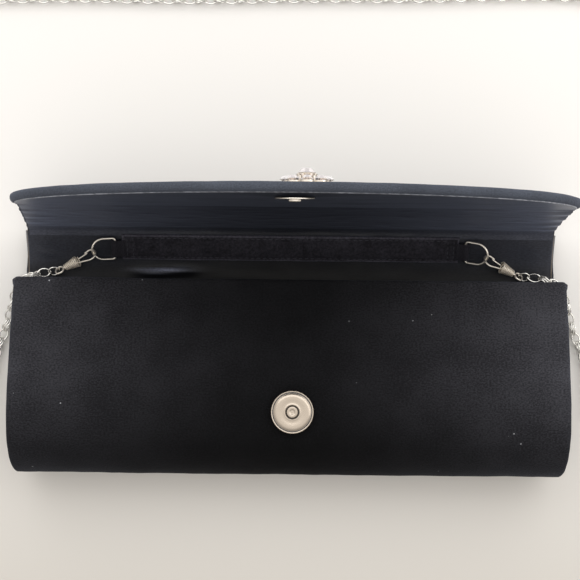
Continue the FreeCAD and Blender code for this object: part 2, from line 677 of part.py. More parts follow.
def print_closed_snap():
    """Where the stud's face meets the socket with the flap closed."""
    crease = turned(Part.Vertex(CREASE), FOLD, V(1, 0, 0), CLOSE_TURN).Point
    angle = COVER_ANGLE + CLOSE_TURN * (1 + CREASE_RATIO)
    face = crease + ray(angle) * STUD_V + ray(angle + 90) * (COVER_INNER + STUD_H)
    gap = (face - (SNAP_AT + SNAP_UP * (0.15 + SOCKET_H)))
    slip = gap - SNAP_UP * gap.dot(SNAP_UP)
    print(f"closed snap: gap {gap.dot(SNAP_UP):.2f} slip {slip.y:.2f} tilt {180 - angle:.1f}"
          f" against {math.degrees(math.atan2(SNAP_UP.y, SNAP_UP.z)):.1f}, crease {crease.y:.1f} {crease.z:.1f}")


make_walls()
make_flap()
make_snap()
make_brooch()
make_strap()
make_chain()
print_joints()
print_closed_snap()
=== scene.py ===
import bpy
import math
import random
import numpy as np
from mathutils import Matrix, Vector, noise


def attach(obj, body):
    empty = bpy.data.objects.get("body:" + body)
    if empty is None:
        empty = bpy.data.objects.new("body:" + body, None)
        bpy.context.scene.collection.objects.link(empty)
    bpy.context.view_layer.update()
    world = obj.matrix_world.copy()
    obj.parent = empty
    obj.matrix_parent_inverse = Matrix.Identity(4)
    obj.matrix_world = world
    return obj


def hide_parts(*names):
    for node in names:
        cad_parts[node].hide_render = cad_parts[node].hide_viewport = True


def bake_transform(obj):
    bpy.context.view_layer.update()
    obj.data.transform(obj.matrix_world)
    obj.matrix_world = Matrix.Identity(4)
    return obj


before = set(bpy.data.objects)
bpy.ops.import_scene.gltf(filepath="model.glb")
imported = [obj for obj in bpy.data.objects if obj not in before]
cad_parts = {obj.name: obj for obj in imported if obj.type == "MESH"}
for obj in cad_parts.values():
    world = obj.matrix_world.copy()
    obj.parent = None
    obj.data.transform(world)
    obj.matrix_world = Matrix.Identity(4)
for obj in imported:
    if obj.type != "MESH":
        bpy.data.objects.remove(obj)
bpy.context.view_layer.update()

# Evening bag lying on its back panel with the flap standing open.  Lengths below are in
# millimetres until a mesh is made; X is the width, +Y runs towards the flap, +Z is up.

random.seed(7)
MM = 0.001

# ---- camera -----------------------------------------------------------------------------
scene = bpy.context.scene
camera = bpy.data.objects.new("camera", bpy.data.cameras.new("camera"))
scene.collection.objects.link(camera)
scene.camera = camera
camera.data.sensor_width = 36
camera.data.lens = 78.2
roll = math.radians(0.6)
camera.location = (0, 0.020, 0.5764)
camera.rotation_euler = (0, 0, roll)

# ---- meshes -----------------------------------------------------------------------------
def new_object(name, vertices, faces, material, uv=None, sharp=None, tone=None):
    """Object from points in millimetres; uv and tone give a pair in metres and a shade for each point."""
    mesh = bpy.data.meshes.new(name)
    mesh.from_pydata([tuple(float(c) * MM for c in point) for point in vertices], [], faces)
    mesh.validate()
    values = np.ones(len(mesh.vertices)) if tone is None else np.asarray(tone, float).ravel()
    mesh.attributes.new("tone", "FLOAT", "POINT").data.foreach_set("value", values.astype(np.float32))
    if uv is not None:
        layer = mesh.uv_layers.new(name="cloth")
        pairs = np.asarray(uv, float).reshape(-1, 2)
        index = np.empty(len(mesh.loops), int)
        mesh.loops.foreach_get("vertex_index", index)
        layer.data.foreach_set("uv", pairs[index].astype(np.float32).ravel())
    if sharp is None or sharp > 0:
        mesh.shade_smooth()
    if sharp:
        mesh.set_sharp_from_angle(angle=math.radians(sharp))
    mesh.materials.append(material)
    made = bpy.data.objects.new(name, mesh)
    scene.collection.objects.link(made)
    return made


def grid_faces(rows, columns, close_rows=False, close_columns=False, first=0):
    faces = []
    for i in range(rows if close_rows else rows - 1):
        for j in range(columns if close_columns else columns - 1):
            a, b = i * columns, ((i + 1) % rows) * columns
            k = (j + 1) % columns
            faces.append((first + a + j, first + a + k, first + b + k, first + b + j))
    return faces


def grid_object(name, points, material, uv=None, flip=False, sharp=None, tone=None, **closing):
    points = np.asarray(points, float)
    rows, columns = points.shape[:2]
    faces = grid_faces(rows, columns, **closing)
    if flip:
        faces = [face[::-1] for face in faces]
    pairs = None if uv is None else np.asarray(uv, float) * MM
    return new_object(name, points.reshape(-1, 3), faces, material, pairs, sharp, tone)


def thicken(obj, thickness, offset=-1.0):
    """Gives a sheet its real thickness: offset -1 grows it against its normals, 1 along them."""
    modifier = obj.modifiers.new("thickness", "SOLIDIFY")
    modifier.thickness = thickness * MM
    modifier.offset = offset
    modifier.use_even_offset = False
    return obj


def frames_along(points, up=(0, 0, 1)):
    """Tangent, side and normal at each point of a line."""
    points = np.asarray(points, float)
    tangent = np.gradient(points, axis=0)
    tangent /= np.linalg.norm(tangent, axis=1)[:, None]
    side = np.cross(np.asarray(up, float), tangent)
    side /= np.maximum(np.linalg.norm(side, axis=1), 1e-9)[:, None]
    return tangent, side, np.cross(tangent, side)


def tube_parts(points, radius, sides=8, closed=False, up=(0.31, 0.17, 0.93)):
    """Vertices and faces of a round wire along a line; the frame is carried along it."""
    points = np.asarray(points, float)
    count = len(points)
    if closed:
        ahead, behind = np.roll(points, -1, 0), np.roll(points, 1, 0)
        tangent = ahead - behind
    else:
        tangent = np.gradient(points, axis=0)
    tangent /= np.linalg.norm(tangent, axis=1)[:, None]
    side = np.cross(up, tangent[0])
    side /= np.linalg.norm(side)
    sides_along = [side]
    for i in range(1, count):
        side = sides_along[-1] - tangent[i] * np.dot(sides_along[-1], tangent[i])
        sides_along.append(side / np.linalg.norm(side))
    radii = np.broadcast_to(np.asarray(radius, float), (count,))
    vertices = []
    for i in range(count):
        normal = np.cross(tangent[i], sides_along[i])
        for j in range(sides):
            turn = 2 * math.pi * j / sides
            around = sides_along[i] * math.cos(turn) + normal * math.sin(turn)
            vertices.append(points[i] + around * radii[i])
    faces = grid_faces(count, sides, close_rows=closed, close_columns=True)
    if not closed:
        faces.append(tuple(range(sides))[::-1])
        faces.append(tuple(range((count - 1) * sides, count * sides)))
    return vertices, faces


def joined(name, parts, material, sharp=None):
    """One object from several (vertices, faces) parts."""
    vertices, faces = [], []
    for part_vertices, part_faces in parts:
        first = len(vertices)
        vertices.extend(part_vertices)
        faces.extend(tuple(first + v for v in face) for face in part_faces)
    return new_object(name, vertices, faces, material, None, sharp)


def lathe(name, outline, base, axis, material, segments=72, sharp=35):
    """Solid of revolution: outline is (radius, height) pairs about base + axis."""
    turn = Vector(axis).normalized().to_track_quat("Z", "Y").to_matrix()
    points = np.zeros((len(outline), segments, 3))
    for i, (radius, height) in enumerate(outline):
        for j in range(segments):
            angle = 2 * math.pi * j / segments
            local = Vector((radius * math.cos(angle), radius * math.sin(angle), height))
            points[i, j] = Vector(base) + turn @ local
    return grid_object(name, points, material, sharp=sharp, close_columns=True)


def waves(x, y, scale, depth=3):
    """Smooth random height from -1 to 1."""
    return noise.fractal(Vector((x / scale, y / scale, depth * 7.3)), 0.6, 2.0, depth)


# ---- materials --------------------------------------------------------------------------
def principled(name, colour, roughness, metallic=0.0, **sockets):
    material = bpy.data.materials.new(name)
    material.use_nodes = True
    shader = material.node_tree.nodes["Principled BSDF"]
    shader.inputs["Base Color"].default_value = (*colour, 1)
    shader.inputs["Roughness"].default_value = roughness
    shader.inputs["Metallic"].default_value = metallic
    for socket, value in sockets.items():
        shader.inputs[socket.replace("_", " ")].default_value = value
    return material, material.node_tree, shader


def fabric(name, dark, light, roughness, grain, bump,
           sheen=0.0, stretch=(1, 1), fleck=0.0, tint=None, gloss=0.1):
    """Cloth whose threads and pile follow its own flat coordinates, in metres."""
    material, tree, shader = principled(name, dark, roughness)
    nodes, links = tree.nodes, tree.links
    shader.inputs["Sheen Roughness"].default_value = 0.45
    if tint:
        shader.inputs["Sheen Tint"].default_value = (*tint, 1)
    shader.inputs["Specular IOR Level"].default_value = gloss
    cloth = nodes.new("ShaderNodeUVMap")
    cloth.uv_map = "cloth"
    mapping = nodes.new("ShaderNodeMapping")
    mapping.inputs["Scale"].default_value = (stretch[0], stretch[1], 1)
    links.new(cloth.outputs["UV"], mapping.inputs["Vector"])

    threads = nodes.new("ShaderNodeTexNoise")
    threads.inputs["Scale"].default_value = grain
    threads.inputs["Detail"].default_value = 3
    threads.inputs["Roughness"].default_value = 0.65
    links.new(mapping.outputs["Vector"], threads.inputs["Vector"])
    broad = nodes.new("ShaderNodeTexNoise")
    broad.inputs["Scale"].default_value = 55
    broad.inputs["Detail"].default_value = 3
    links.new(cloth.outputs["UV"], broad.inputs["Vector"])

    both = nodes.new("ShaderNodeMath")
    both.operation = "MULTIPLY_ADD"
    both.inputs[1].default_value = 0.35
    links.new(broad.outputs["Fac"], both.inputs[0])
    links.new(threads.outputs["Fac"], both.inputs[2])
    ramp = nodes.new("ShaderNodeValToRGB")
    ramp.color_ramp.elements[0].position = 0.56
    ramp.color_ramp.elements[0].color = (*dark, 1)
    ramp.color_ramp.elements[1].position = 0.80
    ramp.color_ramp.elements[1].color = (*light, 1)
    links.new(both.outputs[0], ramp.inputs["Fac"])
    colour = ramp.outputs["Color"]
    if fleck:
        lint = nodes.new("ShaderNodeTexVoronoi")
        lint.inputs["Scale"].default_value = 95
        links.new(cloth.outputs["UV"], lint.inputs["Vector"])
        near = nodes.new("ShaderNodeMath")
        near.operation = "LESS_THAN"
        near.inputs[1].default_value = 0.034
        links.new(lint.outputs["Distance"], near.inputs[0])
        amount = nodes.new("ShaderNodeMath")
        amount.operation = "MULTIPLY"
        amount.inputs[1].default_value = fleck
        links.new(near.outputs[0], amount.inputs[0])
        mix = nodes.new("ShaderNodeMix")
        mix.data_type = "RGBA"
        mix.inputs["B"].default_value = (0.28, 0.29, 0.31, 1)
        links.new(amount.outputs[0], mix.inputs["Factor"])
        links.new(colour, mix.inputs["A"])
        colour = mix.outputs["Result"]
    # The tone point attribute scales the colour and the sheen; on several pieces it carries painted light and
    # shade.
    shade = nodes.new("ShaderNodeAttribute")
    shade.attribute_name = "tone"
    toned = nodes.new("ShaderNodeVectorMath")
    toned.operation = "SCALE"
    links.new(colour, toned.inputs[0])
    links.new(shade.outputs["Fac"], toned.inputs["Scale"])
    links.new(toned.outputs["Vector"], shader.inputs["Base Color"])
    pile = nodes.new("ShaderNodeMath")
    pile.operation = "MULTIPLY"
    pile.inputs[1].default_value = sheen
    links.new(shade.outputs["Fac"], pile.inputs[0])
    links.new(pile.outputs[0], shader.inputs["Sheen Weight"])

    height = nodes.new("ShaderNodeBump")
    height.inputs["Strength"].default_value = 1.0
    height.inputs["Distance"].default_value = bump * MM
    links.new(threads.outputs["Fac"], height.inputs["Height"])
    links.new(height.outputs["Normal"], shader.inputs["Normal"])
    return material


def metal(name, colour, roughness, scratch=0.12, metallic=1.0):
    material, tree, shader = principled(name, colour, roughness, metallic)
    nodes, links = tree.nodes, tree.links
    place = nodes.new("ShaderNodeTexCoord")
    wear = nodes.new("ShaderNodeTexNoise")
    wear.inputs["Scale"].default_value = 900
    wear.inputs["Detail"].default_value = 4
    links.new(place.outputs["Object"], wear.inputs["Vector"])
    spread = nodes.new("ShaderNodeMapRange")
    spread.inputs["To Min"].default_value = max(0.02, roughness - scratch / 2)
    spread.inputs["To Max"].default_value = roughness + scratch
    links.new(wear.outputs["Fac"], spread.inputs["Value"])
    links.new(spread.outputs["Result"], shader.inputs["Roughness"])
    return material


def plain(name, dark, light, roughness, scale, bump):
    """Hidden core materials: board, foam and magnet."""
    material, tree, shader = principled(name, dark, roughness)
    nodes, links = tree.nodes, tree.links
    place = nodes.new("ShaderNodeTexCoord")
    fibres = nodes.new("ShaderNodeTexNoise")
    fibres.inputs["Scale"].default_value = scale
    fibres.inputs["Detail"].default_value = 5
    links.new(place.outputs["Object"], fibres.inputs["Vector"])
    ramp = nodes.new("ShaderNodeValToRGB")
    ramp.color_ramp.elements[0].color = (*dark, 1)
    ramp.color_ramp.elements[1].color = (*light, 1)
    links.new(fibres.outputs["Fac"], ramp.inputs["Fac"])
    links.new(ramp.outputs["Color"], shader.inputs["Base Color"])
    height = nodes.new("ShaderNodeBump")
    height.inputs["Distance"].default_value = bump * MM
    links.new(fibres.outputs["Fac"], height.inputs["Height"])
    links.new(height.outputs["Normal"], shader.inputs["Normal"])
    return material


CREPE = fabric(
    "crepe", (0.0042, 0.0042, 0.0050), (0.0108, 0.0109, 0.0128),
    0.85, 1150, 0.30, 0.03, (1, 1.4), 0.35, (0.62, 0.72, 1.0))
# A lighter copy of the crepe: painted sheen where the light grazes the flap's turned rim.
LIT_RIM_CREPE = fabric(
    "rim_crepe", (0.050, 0.056, 0.071), (0.082, 0.093, 0.118),
    0.85, 1500, 0.22, 0.12, (1, 1.4), 0.0, (0.62, 0.72, 1.0))
LINING = fabric(
    "lining", (0.0085, 0.0092, 0.0125), (0.0145, 0.0158, 0.0210),
    0.40, 700, 0.06, 0.06, (1, 2.5), 0.0, (0.62, 0.72, 1.0), 0.25)
SUEDE = fabric(
    "suede", (0.0135, 0.0130, 0.0165), (0.0260, 0.0250, 0.0315),
    0.85, 900, 0.22, 0.08, (1, 1), 0.0, (0.7, 0.75, 1.0), 0.08)
# The seam's light grey is a painted highlight along the corded seam.
SEAM_HIGHLIGHT = fabric("seam", (0.07, 0.076, 0.090), (0.18, 0.19, 0.215), 0.7, 900, 0.15, 0.1)
THREAD = fabric("thread", (0.030, 0.030, 0.038), (0.062, 0.062, 0.075), 0.7, 2500, 0.1, 0.05)
NICKEL = metal("nickel", (0.95, 0.89, 0.80), 0.34)
SPRING = metal("spring_nickel", (1.0, 0.92, 0.80), 0.28, 0.12, 0.45)
SNAP_METAL = metal("snap_nickel", (0.50, 0.435, 0.365), 0.25)
CHAIN_METAL = metal("chain", (0.88, 0.87, 0.84), 0.20)
SILVER = metal("silver", (0.80, 0.74, 0.66), 0.18)
STEEL = metal("steel", (0.40, 0.41, 0.43), 0.35)
DARK_STEEL = metal("dark_steel", (0.09, 0.085, 0.08), 0.5)
MAGNET = plain("magnet", (0.03, 0.03, 0.032), (0.07, 0.07, 0.075), 0.6, 900, 0.05)
BOARD = plain("board", (0.30, 0.24, 0.17), (0.46, 0.39, 0.30), 0.9, 700, 0.2)
FOAM = plain("foam", (0.55, 0.53, 0.46), (0.70, 0.68, 0.60), 0.95, 1600, 0.3)
RHINESTONE, _, stone_shader = principled("rhinestone", (0.80, 0.77, 0.79), 0.06, 0.70, IOR=1.56)
stone_shader.inputs["Coat Weight"].default_value = 0.7
PALE, _, pale_shader = principled("pale_stone", (0.80, 0.79, 0.80), 0.10, 0.15, IOR=1.5)
pale_shader.inputs["Coat Weight"].default_value = 0.8

# ---- the bag's own lines ----------------------------------------------------------------
HALF = 120.0
FOLD = np.array((48.0, 10.0))
STRIP_ANGLE, STRIP_LENGTH, BACK_SLOPE = math.radians(76.0), 35.0, math.radians(24.0)
STRIP_WAY = np.array((math.cos(STRIP_ANGLE), math.sin(STRIP_ANGLE)))
SLOPE_WAY = np.array((math.cos(BACK_SLOPE), math.sin(BACK_SLOPE)))
CREASE = FOLD + STRIP_WAY * STRIP_LENGTH
COVER_ANGLE = math.radians(88.9)
COVER_WAY = np.array((math.cos(COVER_ANGLE), math.sin(COVER_ANGLE)))
COVER_UP = np.array((-COVER_WAY[1], COVER_WAY[0]))
SNAP_AT, SNAP_UP = Vector((1.5, -31.6, 43.41)), Vector((0, 0.0452, 0.999)).normalized()
PROFILE = [
    (24.3, 30.0), (17.996, 32.161), (11.655, 34.208), (5.267, 36.105), (-1.173, 37.818),
    (-7.658, 39.35), (-14.176, 40.738), (-20.716, 42.018), (-27.298, 43.049), (-33.945, 43.459),
    (-40.575, 42.872), (-46.942, 40.957), (-52.578, 37.443), (-57.049, 32.529), (-60.044, 26.6),
    (-61.297, 20.078), (-60.572, 13.481), (-57.656, 7.533), (-52.753, 3.07), (-46.63, 0.536),
    (-40.0, 0.0),
]


def smooth_line(points, count):
    """Catmull-Rom line through the points, at an even spacing."""
    p = np.asarray(points, float)
    p = np.vstack([2 * p[0] - p[1], p, 2 * p[-1] - p[-2]])
    fine = []
    for i in range(1, len(p) - 2):
        for t in np.linspace(0, 1, 24, endpoint=False):
            fine.append(0.5 * (
                2 * p[i] + (p[i + 1] - p[i - 1]) * t
                + (2 * p[i - 1] - 5 * p[i] + 4 * p[i + 1] - p[i + 2]) * t * t
                + (3 * p[i] - p[i - 1] - 3 * p[i + 1] + p[i + 2]) * t ** 3))
    fine.append(p[-2])
    return even_line(fine, count)


def even_line(points, count):
    points = np.asarray(points, float)
    along = np.concatenate([[0], np.cumsum(np.linalg.norm(np.diff(points, axis=0), axis=1))])
    wanted = np.linspace(0, along[-1], count)
    return np.stack([np.interp(wanted, along, points[:, k]) for k in range(points.shape[1])], 1)


def line_frame(line):
    """Unit vectors into the bag at each point of a side profile that runs mouth to back."""
    way = np.gradient(line, axis=0)
    way /= np.linalg.norm(way, axis=1)[:, None]
    return np.stack([-way[:, 1], way[:, 0]], 1), way


def back_line(depth, count=70, start=-40.0):
    """Flat back wall, bend and slope up to 3 mm before the fold."""
    points = [(y, depth) for y in np.linspace(start, 26.0, 40)]
    for angle in np.linspace(0, BACK_SLOPE, 14)[1:]:
        points.append((26 + math.sin(angle) * (30 - depth), 30 - math.cos(angle) * (30 - depth)))
    base = np.array(points[-1])
    reach = (FOLD - base) @ SLOPE_WAY - 3.0
    points.append(base + SLOPE_WAY * reach)
    return even_line(points, count)


front_line = smooth_line(PROFILE, 160)
front_in, front_way = line_frame(front_line)
front_length = np.linalg.norm(np.diff(front_line, axis=0), axis=1).sum()

# Across the width: the cover runs flat, then turns round the edge of the board.
TURN_AT, TURN_R = 118.2, 1.75
EDGE_TURN = [
    (TURN_AT + TURN_R * math.sin(a), TURN_R - TURN_R * math.cos(a))
    for a in np.linspace(0, 0.5 * math.pi, 7)
]
EDGE_TURN += [(119.95, 2.3), (119.85, 2.9), (119.4, 3.35), (118.7, 3.5), (117.6, 3.5)]


def width_columns(count=120):
    middle = [(x, 0.0) for x in np.linspace(-117.4, 117.4, count)]
    return [(-x, d) for x, d in EDGE_TURN[::-1]] + middle + EDGE_TURN


columns = width_columns()
column_uv = np.concatenate([[0], np.cumsum([math.dist(a, b) for a, b in zip(columns, columns[1:])])])


def side_weight(x, reach=26.0):
    return max(0.0, 1 - (HALF - abs(x)) / reach)


BACK_DEPTH, BACK_NARROW = 2.3, 0.010       # the back cover's turned edge, and its taper to the fold


def skin(name, line, swell, seed, material, shade=None, start_uv=0.0):
    """Cover of one wall, with turned side edges and slight unevenness; start_uv is set for the back."""
    is_back = start_uv > 0
    inward, _ = line_frame(line)
    step = np.concatenate([[0], np.cumsum(np.linalg.norm(np.diff(line, axis=0), axis=1))])
    points = np.zeros((len(line), len(columns), 3))
    uv = np.zeros((len(line), len(columns), 2))
    for i, (y, z) in enumerate(line):
        for j, (x, depth) in enumerate(columns):
            rise = swell(x, step[i], y, z) if depth < 1.6 else 0.0
            pull = 0.35 * noise.noise(Vector((seed, step[i] / 11.0, 0.5 + (x > 0)))) * side_weight(x, 5)
            depth_here = (BACK_DEPTH if is_back and depth > BACK_DEPTH else depth) - rise
            narrow = BACK_NARROW * min(1.0, max(0.0, (y - 28) / 12)) if is_back else 0.0
            points[i, j] = (
                x * (1 - narrow) + math.copysign(pull, x),
                y + inward[i][0] * depth_here, z + inward[i][1] * depth_here)
            uv[i, j] = (column_uv[j], step[i] + start_uv)
    tone = None if shade is None else [shade(x, s) for s in step for x, _ in columns]
    return grid_object(name, points, material, uv, tone=tone)


def front_painted_light(x, s):
    """Painted light and shade: the cover is lighter towards the side edges and darker down the middle and the
    lower edge, with a little tone that differs at random.
    """
    edge = (abs(x) / HALF) ** 1.7
    tone = 0.72 + (4.9 if x > 0 else 3.9) * edge
    tone *= 1.0 - 0.60 * min(1.0, max(0.0, (s - 50) / 34.0))
    return tone * (1 + 0.07 * waves(x, s, 40))


def side_tone(x):
    """Linings catch more light towards the side edges."""
    return 1.0 + 2.2 * (abs(x) / HALF) ** 2


def front_swell(x, s, y, z):
    rise = 0.22 * waves(x, s, 34) + 0.10 * waves(x, s + 90, 9)
    away = math.hypot(x - SNAP_AT.x, y - SNAP_AT.y)
    if z > 38:
        rise -= 0.55 * math.exp(-((away - 9.5) / 3.2) ** 2)
        rise += 0.25 * math.exp(-((away - 16) / 5.0) ** 2)
    rise += 0.30 * math.exp(-((s - 7.5) / 3.5) ** 2)
    return rise


# The front cover starts inside, turns over the mouth edge and ends under the bag.
lip = [front_line[0] + front_in[0] * 3.6 + front_way[0] * 7.0]
lip.append(front_line[0] + front_in[0] * 3.65 + front_way[0] * 1.2)
for angle in np.linspace(-0.5 * math.pi, 0.5 * math.pi, 9):
    across = 1.8 - 1.8 * math.sin(angle)
    past = 0.75 * math.cos(angle) - 0.3
    lip.append(front_line[0] + front_in[0] * across - front_way[0] * past)
folded_line = np.vstack([lip, front_line[2:]])
front_panel = skin("front_panel", folded_line, front_swell, 3.1, CREPE, front_painted_light)
thicken(front_panel, 0.55, 1.0)
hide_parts("front_cover", "mouth_binding")

# The back cover's colour is lightened towards its side edges: painted light on the turned edge, which lies in
# shade.
back_panel = skin(
    "back_panel", back_line(0.0), lambda x, s, y, z: 0.0, 5.7, CREPE,
    lambda x, s: 1.0 + 6.0 * side_weight(x, 3), start_uv=front_length)
thicken(back_panel, 0.55, 1.0)
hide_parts("back_cover")

# The cloth turns round the board's top edge in a narrow hem below the fold.
HEM = [
    (-1.5, 0.02), (0.0, 0.02), (0.5, 0.25), (0.75, 0.75), (0.7, 1.35), (0.3, 1.85), (-0.2, 1.95), (-0.2, 0.7),
    (-1.5, 0.5),
]
hem_end = back_line(0.0)[-1]
slope_in = np.array((-SLOPE_WAY[1], SLOPE_WAY[0]))
rows, row_uv = [], []
for x in np.linspace(-118.2, 118.2, 90):
    line = [hem_end + SLOPE_WAY * a + slope_in * (d + 0.04 * waves(x, a, 9)) for a, d in HEM]
    rows.append([(x, y, z) for y, z in line])
    row_uv.append([(x, 400 + 0.9 * k) for k in range(len(HEM))])
back_hem = grid_object("back_hem", rows, CREPE, row_uv, close_columns=True)
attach(back_hem, "root")

# Lining: one sheet from the mouth round the bottom and up the back wall.
lining_line = np.vstack([(front_line + front_in * 3.5)[3:], back_line(3.5)[1:]])
lining_step = np.concatenate([[0], np.cumsum(np.linalg.norm(np.diff(lining_line, axis=0), axis=1))])
lining_in, _ = line_frame(lining_line)
lining_x = np.linspace(-118.3, 118.3, 150)
points = np.zeros((len(lining_line), len(lining_x), 3))
uv = np.zeros((len(lining_line), len(lining_x), 2))
lining_total = lining_step[-1]
lining_tone = np.ones((len(lining_line), len(lining_x)))
for i, (y, z) in enumerate(lining_line):
    to_fold = lining_total - lining_step[i]
    reach = min(1.0, max(0.0, (24 - to_fold) / 5.0))
    for j, place in enumerate(lining_x):
        drop = 1.9 * reach * max(0.0, (abs(place) - 116.5) / 1.8) ** 2
        share = 1.0 if abs(place) > 100 else abs(place) / 100
        x = place * (1 + 0.0105 * reach * share)
        rise = 0.16 * (1 + waves(x, lining_step[i], 16))
        centre = 18.2 - 0.03 * (x + 54) + 0.6 * noise.noise(Vector((x / 14, 0.3, 2.2)))
        ridge = math.exp(-((to_fold - centre) / 1.6) ** 2) * math.exp(-((x + 56) / 14) ** 4)
        rise += 1.3 * ridge
        fold_at = 11.0 + 0.15 * (x + 105)
        rise += 0.5 * math.exp(-((to_fold - fold_at) / 1.2) ** 2) * math.exp(-((x + 108) / 8) ** 4)
        clear = math.exp(-((abs(x) - 93) / 15) ** 6)
        rise = rise * (1 - clear) - 0.1 * clear
        rise *= min(1.0, to_fold / 3.0) * min(1.0, (118.3 - abs(x)) / 4.0)
        rise -= drop
        points[i, j] = (x, y + lining_in[i][0] * rise, z + lining_in[i][1] * rise)
        uv[i, j] = (x, lining_step[i])
        # Painted highlight: a glint along the wrinkle ridge. Painted shade: the lining darkens deeper inside
        # the bag. side_tone adds painted light towards the side edges.
        painted_glint = math.exp(-((to_fold - centre + 0.9) / 0.7) ** 2) * math.exp(-((x + 58) / 10) ** 2)
        deep = 1 - 0.6 * min(1.0, max(0.0, (to_fold - 13) / 5))
        lining_tone[i, j] = (side_tone(x) - 0.4) * deep + 22.0 * painted_glint
body_sheet = grid_object("lining_sheet", points, LINING, uv, flip=True, tone=lining_tone)
thicken(body_sheet, 0.45, 1.0)
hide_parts("body_lining")

# End walls: crepe outside, lining inside, with a top edge that dips between the walls.
def end_sheet(name, depth, x, material, bulge, thickness, node, sign):
    line = (front_line + front_in * depth)[5:]
    back = np.array([(y, depth) for y in np.linspace(-39.0, 22.3, 24)])
    outer = even_line(np.vstack([line, back]), 90)
    start, stop = outer[0], outer[-1]
    dip = np.array((12.3, (start[1] + depth) / 2))
    t = np.linspace(0, 1, 90)[:, None]
    control = 2 * dip - (start + stop) / 2
    top = (1 - t) ** 2 * start + 2 * t * (1 - t) * control + t ** 2 * stop
    across = np.linspace(0, 1, 12)
    points = np.zeros((90, 12, 3))
    uv = np.zeros((90, 12, 2))
    for i in range(90):
        for j, part in enumerate(across):
            y, z = outer[i] * (1 - part) + top[i] * part
            swell = bulge * math.sin(math.pi * part) * math.sin(math.pi * i / 89) + 0.2 * waves(y, z, 12)
            points[i, j] = (sign * (x + swell), y, z)
            uv[i, j] = (y, z)
    made = grid_object(name, points, material, uv, flip=sign > 0)
    thicken(made, thickness)
    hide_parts(node)
    return made


end_pieces = []
for side, sign in (("left", -1), ("right", 1)):
    end_pieces.append(end_sheet("end_cloth_" + side, 3.5, 118.6, CREPE, -0.5, 0.9, "end_panel_" + side, sign))
    end_pieces.append(end_sheet(
        "end_inside_" + side, 3.7, 116.9, LINING, -0.5, 0.4, "end_lining_" + side, sign))

# ---- flap cover -------------------------------------------------------------------------
DEEP = 67.6
COVER_SHIFT = 2.0
PHI_END = math.asin(2.5 / DEEP)
RIM_PATH = [
    (6.0, -2.70), (4.2, -2.70), (3.0, -2.68), (1.8, -2.60), (0.8, -2.3), (0.2, -1.8), (0.0, -1.1),
    (0.05, -0.3), (0.3, 0.4), (0.8, 0.95), (1.5, 1.18), (2.1, 1.22), (2.6, 1.15), (3.0, 0.9),
]


def cover_point(x, v, w):
    y, z = CREASE + COVER_WAY * v + COVER_UP * w
    return (x + COVER_SHIFT, y, z)


def oval(phi, inset):
    """Point of the half oval, moved in by inset."""
    x, v = HALF * math.cos(phi), DEEP * math.sin(phi)
    nx, nv = math.cos(phi) / HALF, math.sin(phi) / DEEP
    size = math.hypot(nx, nv)
    return x - nx / size * inset, max(v - nv / size * inset, 2.5)


def phi_steps(count):
    u = np.linspace(0, 1, count)
    u = 0.5 - 0.5 * np.cos(math.pi * u) * (0.55 + 0.45 * np.abs(np.cos(math.pi * u)))
    return PHI_END + (math.pi - 2 * PHI_END) * u


FACE_TONE = 0.17                           # the face is scaled down to the body's dark crepe, while the turned rim keeps the painted sheen
phis = phi_steps(190)
base_path = [(0.0, -0.9), (0.05, -1.8), (0.6, -2.40), (1.8, -2.65)]
face_steps = np.linspace(0, 1, 34)
rows, row_uv, flap_tone = [], [], []
for phi in phis:
    column, column_pairs = [], []
    x_in, v_in = oval(phi, RIM_PATH[0][0])
    depth = max(v_in - 2.5 - 1.8, 0.05)
    for rise, w in base_path:
        scale = min(1.0, (v_in - 2.5) / 6.0 + 0.05)
        column.append((x_in, 2.5 + rise * scale, w))
    for part in face_steps[1:-1]:
        v = 2.5 + min(1.8, (v_in - 2.5) * 0.4) + depth * part * (1.0 if v_in > 5 else 0.5)
        v = min(v, v_in)
        puff = 0.12 * waves(x_in + 300, v, 26)
        column.append((x_in, v, -2.68 - puff * min(1.0, 4 * part * (1 - part))))
    for inset, w in RIM_PATH:
        x, v = oval(phi, inset)
        wobble = 0.10 * noise.noise(Vector((x / 9, v / 9, inset * 0.2)))
        column.append((x, v, w + wobble))
    length = 0.0
    for k, (x, v, w) in enumerate(column):
        if k:
            length += math.dist(column[k - 1], column[k])
        column_pairs.append((x, 2.5 + length))
    rows.append([cover_point(*point) for point in column])
    row_uv.append(column_pairs)
    # Painted sheen: full tone on the turned rim, fading to FACE_TONE towards the face.
    flap_tone += [FACE_TONE] * (len(column) - len(RIM_PATH))
    flap_tone += [
        FACE_TONE + (1 - FACE_TONE) * min(1.0, (6.0 - inset) / 5.4) if w < -1.1 else 1.0
        for inset, w in RIM_PATH
    ]
flap_skin = grid_object("flap_outer", rows, LIT_RIM_CREPE, row_uv, flip=False, tone=flap_tone)
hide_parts("flap_cover", "flap_rim")

# Lining face of the cover, with soft creases that run along the width.
rows, row_uv = [], []
for phi in phis:
    x, v_top = oval(phi, 2.3)
    column = []
    for part in np.linspace(0, 1, 44):
        v = 2.3 + (v_top - 2.3) * part
        fade = min(1.0, 5 * part * (1 - part) + 0.0)
        bend = 0.22 * math.sin((v + 1.5 * noise.noise(Vector((x / 30, v / 12, 4.4)))) / 2.3)
        bend *= max(0.0, noise.noise(Vector((x / 42, v / 6, 9.1))) + 0.10)
        swell = 1.4 * math.exp(-((x + 0.5) / 22) ** 2 - ((v - 56.9) / 7.0) ** 2)
        column.append((x, v, 1.22 + fade * (bend + 0.12 * waves(x, v + 60, 14) + swell)))
    rows.append([cover_point(*point) for point in column])
    row_uv.append([(x, v) for x, v, _ in column])
inside_tone = [0.95 * side_tone(point[0]) for row in rows for point in row]
flap_inside = grid_object("flap_inside", rows, LINING, row_uv, flip=True, tone=inside_tone)
thicken(flap_inside, 0.35)
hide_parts("flap_lining")

